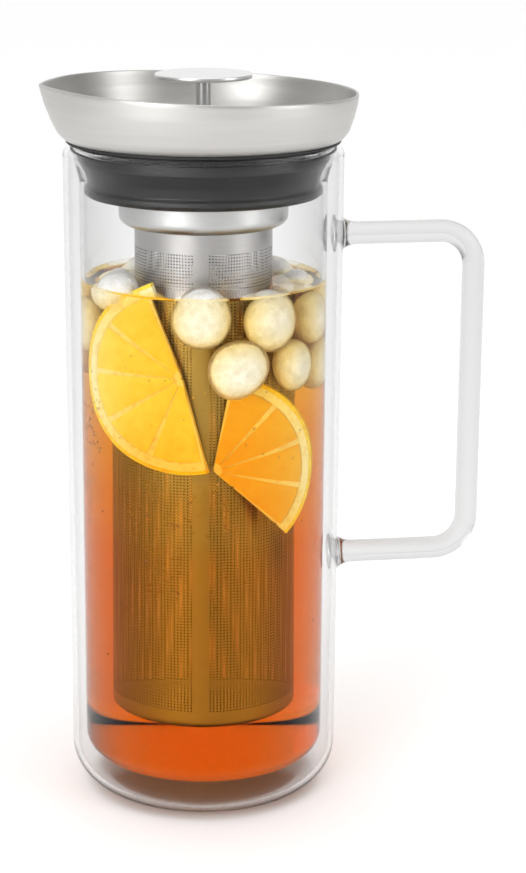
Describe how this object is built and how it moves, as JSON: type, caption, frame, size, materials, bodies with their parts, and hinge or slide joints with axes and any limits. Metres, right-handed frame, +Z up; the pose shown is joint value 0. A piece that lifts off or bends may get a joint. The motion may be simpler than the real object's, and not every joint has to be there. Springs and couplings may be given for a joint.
{
  "type": "glass teapot",
  "caption": "Tall double-walled glass jug for infused iced tea, with a side handle, a spouted steel lid on a silicone stopper and a perforated infuser that hangs inside.",
  "frame": {"origin": "centre of the base, on the surface the jug stands on", "axes": "+Z up along the jug's axis, +X towards the handle, the spout points along -X"},
  "size_m": [0.1782, 0.122, 0.2917],
  "materials": {
    "clear_glass": "clear polished borosilicate",
    "satin_steel": "fine satin",
    "bright_steel": "bright drawn steel",
    "grey_silicone": "matt charcoal",
    "black_silicone": "matt black",
    "iced_tea": "clear amber drink",
    "ice": "cloudy ice",
    "citrus": "wet lemon flesh, pith and rind"
  },
  "bodies": {
    "jug": {"outer_glass_wall": "clear_glass", "inner_glass_wall": "clear_glass", "base_seal_bead": "clear_glass", "glass_handle": "clear_glass"},
    "lid": {"pouring_collar": "satin_steel", "neck_sleeve": "satin_steel", "stopper_seal": "grey_silicone", "rim_gasket": "black_silicone"},
    "infuser": {"infuser_cup": "bright_steel", "infuser_tube": "bright_steel", "infuser_end_cap": "bright_steel"},
    "cover": {"cover_plate": "satin_steel", "cover_seal_ring": "black_silicone", "knob_stem": "bright_steel", "stem_screw": "bright_steel", "knob_disc": "satin_steel"}
  },
  "joints": [
    {"name": "lid_lift", "type": "slide", "parent": "jug", "child": "lid", "axis": [0, 0, 1], "range_m": [0, 0.24]},
    {"name": "infuser_lift", "type": "slide", "parent": "lid", "child": "infuser", "axis": [0, 0, 1], "range_m": [0, 0.26]},
    {"name": "cover_lift", "type": "slide", "parent": "infuser", "child": "cover", "axis": [0, 0, 1], "range_m": [0, 0.04]}
  ]
}
